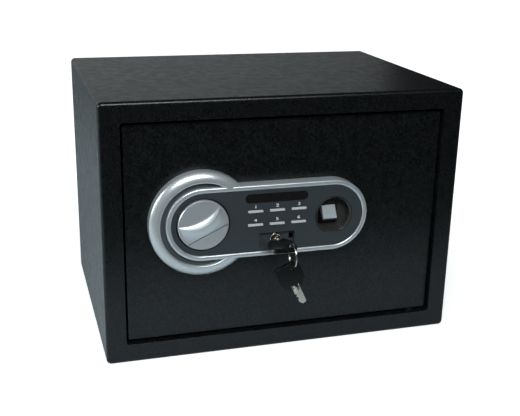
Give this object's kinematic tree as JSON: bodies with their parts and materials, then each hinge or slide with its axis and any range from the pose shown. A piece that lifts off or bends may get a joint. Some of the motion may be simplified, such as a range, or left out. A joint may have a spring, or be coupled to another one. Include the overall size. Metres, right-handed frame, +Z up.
{
  "type": "biometric safe",
  "caption": "Small steel safe with a recessed hinged door, a knob that throws live bolts, a keypad and fingerprint reader panel, an emergency key lock and a spare key on a ring.",
  "frame": {"origin": "centre of the flat base underside", "axes": "+X to the right seen from the door, +Y to the back, +Z up"},
  "size_m": [0.35, 0.3027, 0.25],
  "materials": {
    "black_coat": "fine textured black powder coat on steel sheet",
    "felt": "needled felt mat",
    "zinc_steel": "bright zinc plated steel",
    "nylon": "natural nylon",
    "silver_plastic": "moulded plastic painted satin silver",
    "charcoal_plastic": "moulded charcoal plastic, fine satin grain",
    "gloss_black": "polished black plastic",
    "board": "green circuit board",
    "pad": "light grey coated sensor surface",
    "copper": "wound enamelled wire in tape",
    "nickel": "polished nickel plate",
    "black_plastic": "moulded black plastic",
    "red_plastic": "moulded red plastic",
    "cell_wrap": "printed sleeve on a steel can"
  },
  "bodies": {
    "cabinet": {"body_shell": "black_coat", "back_panel": "black_coat", "floor_mat": "felt", "hinge_bush_top": "zinc_steel", "hinge_bush_bottom": "zinc_steel"},
    "door": {"door_plate": "black_coat", "hinge_knuckle_top": "zinc_steel", "hinge_knuckle_bottom": "zinc_steel", "hinge_washer": "black_plastic", "panel_bezel": "silver_plastic", "moat_infill": "charcoal_plastic", "panel_face": "charcoal_plastic", "display_window": "gloss_black", "keypad_board": "board", "reader_well": "gloss_black", "reader_pad": "pad", "spindle_bush": "nylon", "bolt_guide": "zinc_steel", "carrier_stud_upper": "zinc_steel", "carrier_stud_lower": "zinc_steel", "solenoid_frame": "zinc_steel", "solenoid_coil": "copper", "blocker_spring": "zinc_steel", "lock_barrel": "nickel", "lock_nut": "zinc_steel", "main_board": "board", "battery_box": "black_plastic", "cell_1": "cell_wrap", "cell_2": "cell_wrap", "cell_3": "cell_wrap", "cell_4": "cell_wrap", "inner_cover": "black_coat"},
    "knob": {"knob": "silver_plastic", "knob_spindle": "zinc_steel", "spindle_clip": "zinc_steel", "drive_cam": "zinc_steel"},
    "bolts": {"bolt_carrier": "zinc_steel", "live_bolt_upper": "zinc_steel", "live_bolt_lower": "zinc_steel"},
    "blocker": {"blocker_plunger": "zinc_steel"},
    "lock": {"lock_plug": "nickel", "lock_cam": "zinc_steel"},
    "key": {"key_bow": "black_plastic", "key_blade": "nickel"},
    "ring": {"key_ring": "nickel"},
    "spare_key": {"spare_key_bow": "black_plastic", "spare_key_blade": "nickel"},
    "button_1": {"button_1": "silver_plastic"},
    "button_2": {"button_2": "silver_plastic"},
    "button_3": {"button_3": "silver_plastic"},
    "button_4": {"button_4": "silver_plastic"},
    "button_5": {"button_5": "silver_plastic"},
    "button_6": {"button_6": "silver_plastic"},
    "reset_button": {"reset_button": "red_plastic"},
    "battery_lid": {"battery_lid": "black_plastic"}
  },
  "joints": [
    {"name": "door_hinge", "type": "hinge", "parent": "cabinet", "child": "door", "pos_m": [0.1392, -0.113, 0.125], "axis": [0, 0, 1], "range_deg": [0, 110]},
    {"name": "knob_turn", "type": "hinge", "parent": "door", "child": "knob", "pos_m": [-0.0835, -0.1195, 0.1345], "axis": [0, 1, 0], "range_deg": [0, 90.5]},
    {"name": "bolt_throw", "type": "slide", "parent": "door", "child": "bolts", "axis": [-1, 0, 0], "range_m": [0, 0.014]},
    {"name": "key_turn", "type": "hinge", "parent": "door", "child": "lock", "pos_m": [-0.0135, -0.1195, 0.115], "axis": [0, 1, 0], "range_deg": [0, 90]},
    {"name": "blocker_lift", "type": "slide", "parent": "door", "child": "blocker", "axis": [0, 0, 1], "range_m": [0, 0.005], "deforming": ["blocker_spring"]},
    {"name": "key_pull", "type": "slide", "parent": "lock", "child": "key", "axis": [0, -1, 0], "range_m": [0, 0.03]},
    {"name": "ring_swing", "type": "hinge", "parent": "key", "child": "ring", "pos_m": [-0.0085, -0.157, 0.115], "axis": [-1, 0, 0], "range_deg": [0, 35]},
    {"name": "spare_swing", "type": "hinge", "parent": "ring", "child": "spare_key", "pos_m": [-0.0085, -0.16636, 0.0997], "axis": [0, 1, 0], "range_deg": [-30, 30]},
    {"name": "button_1_press", "type": "slide", "parent": "door", "child": "button_1", "axis": [0, 1, 0], "range_m": [0, 0.0008], "stiffness_N_per_m": 1500},
    {"name": "button_2_press", "type": "slide", "parent": "door", "child": "button_2", "axis": [0, 1, 0], "range_m": [0, 0.0008], "stiffness_N_per_m": 1500},
    {"name": "button_3_press", "type": "slide", "parent": "door", "child": "button_3", "axis": [0, 1, 0], "range_m": [0, 0.0008], "stiffness_N_per_m": 1500},
    {"name": "button_4_press", "type": "slide", "parent": "door", "child": "button_4", "axis": [0, 1, 0], "range_m": [0, 0.0008], "stiffness_N_per_m": 1500},
    {"name": "button_5_press", "type": "slide", "parent": "door", "child": "button_5", "axis": [0, 1, 0], "range_m": [0, 0.0008], "stiffness_N_per_m": 1500},
    {"name": "button_6_press", "type": "slide", "parent": "door", "child": "button_6", "axis": [0, 1, 0], "range_m": [0, 0.0008], "stiffness_N_per_m": 1500},
    {"name": "reset_press", "type": "slide", "parent": "door", "child": "reset_button", "axis": [0, -1, 0], "range_m": [0, 0.0012], "stiffness_N_per_m": 1500},
    {"name": "battery_lid_off", "type": "slide", "parent": "door", "child": "battery_lid", "axis": [0, 1, 0], "range_m": [0, 0.02]}
  ],
  "couplings": [
    {"joint": "knob_turn", "follows": "bolt_throw", "rad_per_m": 112.2},
    {"joint": "blocker_lift", "follows": "key_turn", "m_per_rad": 0.0031831}
  ]
}
